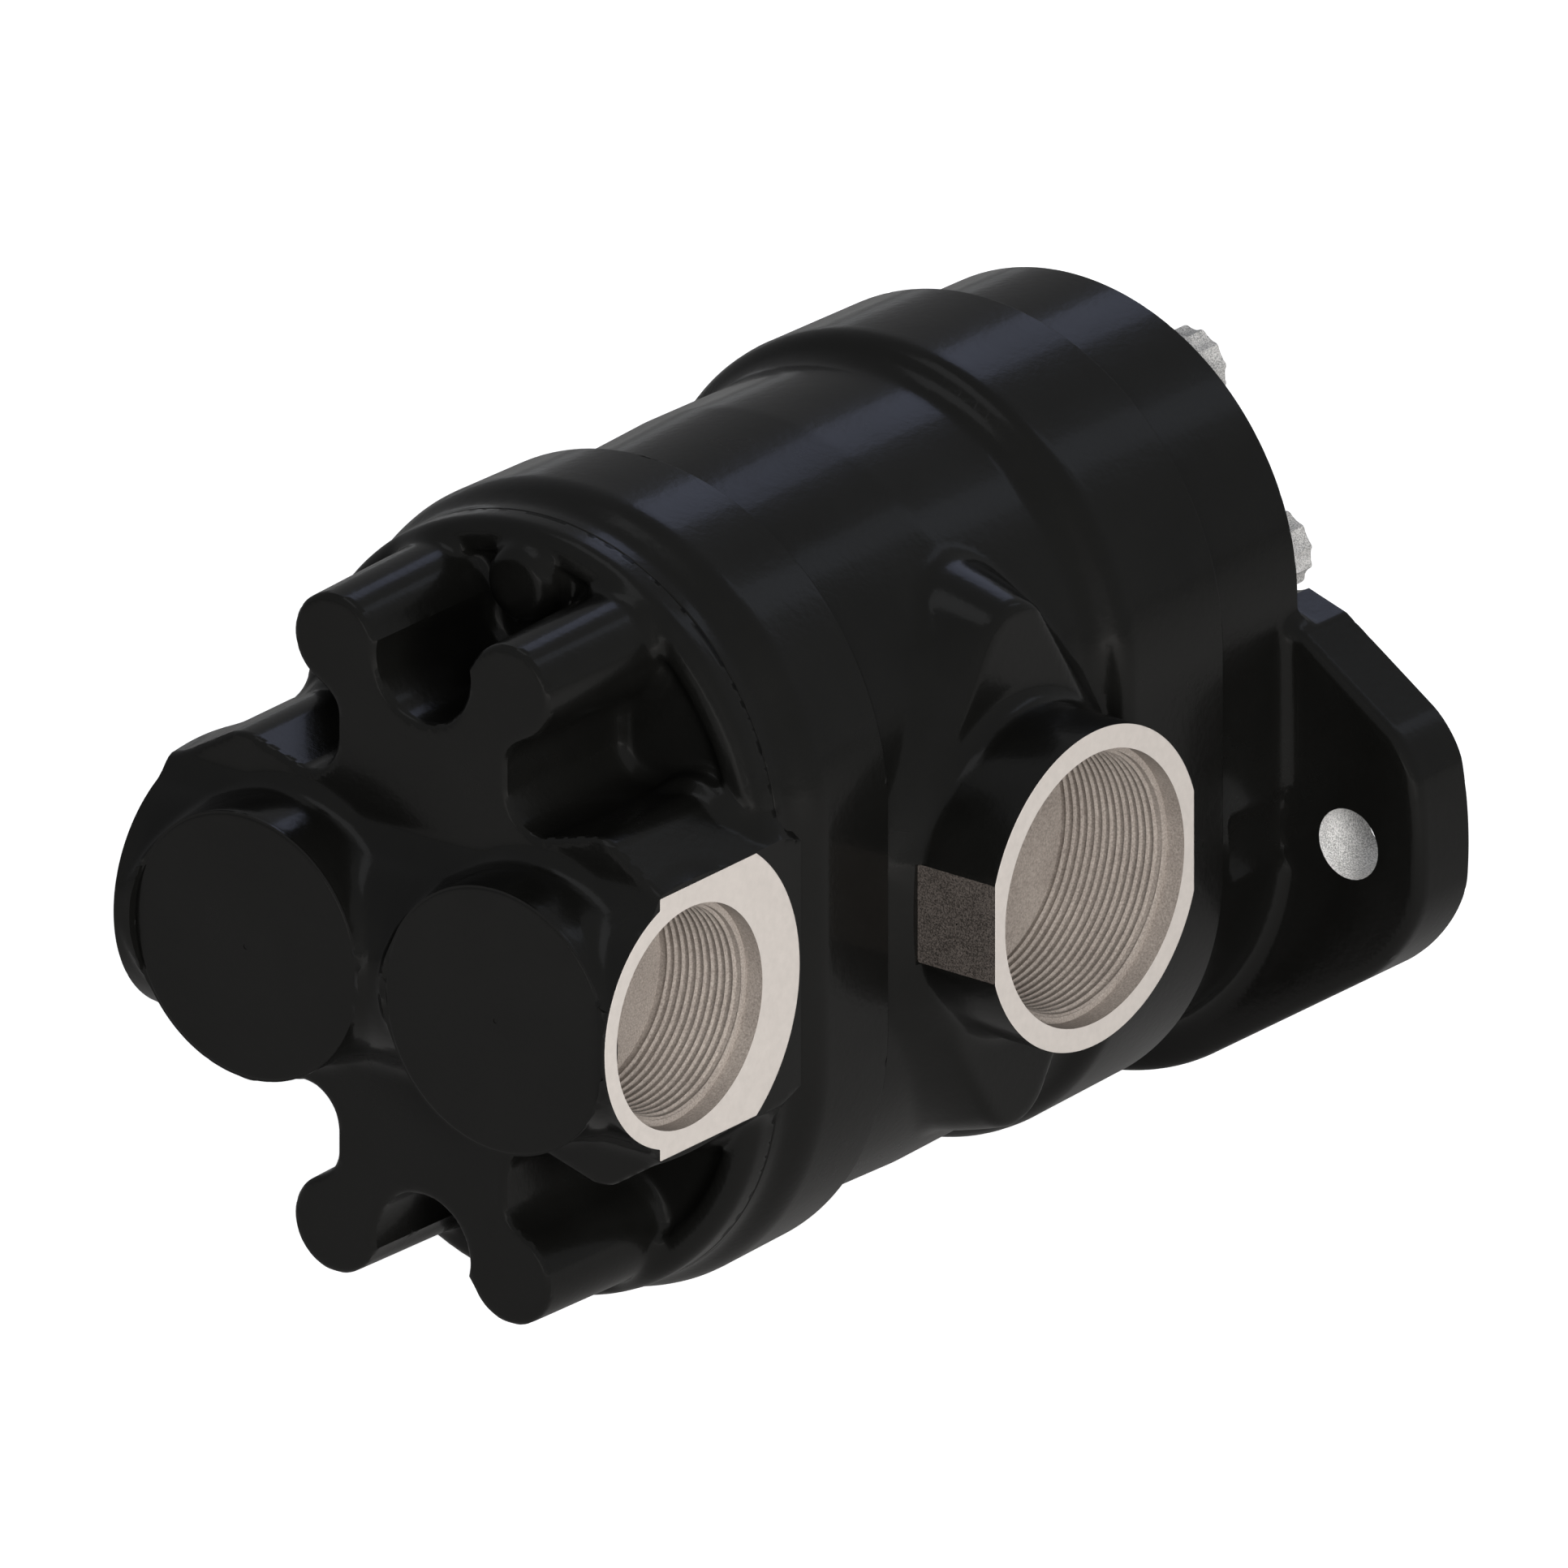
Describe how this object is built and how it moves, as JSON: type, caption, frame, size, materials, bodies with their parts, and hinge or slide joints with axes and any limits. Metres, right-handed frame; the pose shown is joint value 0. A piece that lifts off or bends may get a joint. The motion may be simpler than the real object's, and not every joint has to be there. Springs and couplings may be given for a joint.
{
  "type": "hydraulic pump",
  "caption": "Tandem external gear pump in black-painted iron with a two-bolt flange, keyed shaft, large threaded inlet port and threaded outlet ports, held together by 12-point cap screws.",
  "frame": {"origin": "centre of the pilot on the mounting face, on the drive shaft's axis", "axes": "+Y along the drive shaft, out of its keyed end; +X out of the inlet port; +Z from the drive axis to the driven axis"},
  "size_m": [0.1336, 0.2118, 0.1299],
  "materials": {
    "black_paint": "glossy black paint over iron castings, with bare machined port faces and threads",
    "plated_steel": "bright plated cap screws and washers",
    "ground_steel": "ground shafts, gears and dowels",
    "spring_steel": "dark spring steel retaining ring",
    "seal_rubber": "black oil-resistant rubber",
    "bearing_bronze": "plain bearing bronze"
  },
  "bodies": {
    "housing": {"mounting_flange": "black_paint", "front_gear_housing": "black_paint", "rear_gear_housing": "black_paint", "rear_port_cover": "black_paint", "shaft_seal": "seal_rubber", "seal_retaining_ring": "spring_steel", "long_cap_screws": "plated_steel", "side_cap_screws": "plated_steel", "screw_washers": "plated_steel", "flange_dowels": "ground_steel", "centre_dowels": "ground_steel", "cover_dowels": "ground_steel", "flange_seal": "seal_rubber", "centre_seal": "seal_rubber", "cover_seal": "seal_rubber", "drive_flange_bushing": "bearing_bronze", "driven_flange_bushing": "bearing_bronze", "drive_centre_front_bushing": "bearing_bronze", "driven_centre_front_bushing": "bearing_bronze", "drive_centre_rear_bushing": "bearing_bronze", "driven_centre_rear_bushing": "bearing_bronze", "drive_cover_bushing": "bearing_bronze", "driven_cover_bushing": "bearing_bronze", "front_section_front_plate": "bearing_bronze", "front_section_rear_plate": "bearing_bronze", "rear_section_front_plate": "bearing_bronze", "rear_section_rear_plate": "bearing_bronze"},
    "drive": {"drive_shaft": "ground_steel", "front_drive_gear": "ground_steel", "connecting_shaft": "ground_steel", "rear_drive_gear": "ground_steel"},
    "front_driven": {"front_driven_gear": "ground_steel"},
    "rear_driven": {"rear_driven_gear": "ground_steel"}
  },
  "joints": [
    {"name": "drive_spin", "type": "hinge", "parent": "housing", "child": "drive", "pos_m": [0, 0, 0], "axis": [0, 1, 0], "continuous": true},
    {"name": "front_driven_spin", "type": "hinge", "parent": "housing", "child": "front_driven", "pos_m": [0, 0, 0.0356], "axis": [0, 1, 0], "continuous": true},
    {"name": "rear_driven_spin", "type": "hinge", "parent": "housing", "child": "rear_driven", "pos_m": [0, 0, 0.0356], "axis": [0, 1, 0], "continuous": true}
  ],
  "couplings": [
    {"joint": "front_driven_spin", "follows": "drive_spin", "ratio": -1},
    {"joint": "rear_driven_spin", "follows": "drive_spin", "ratio": -1}
  ]
}
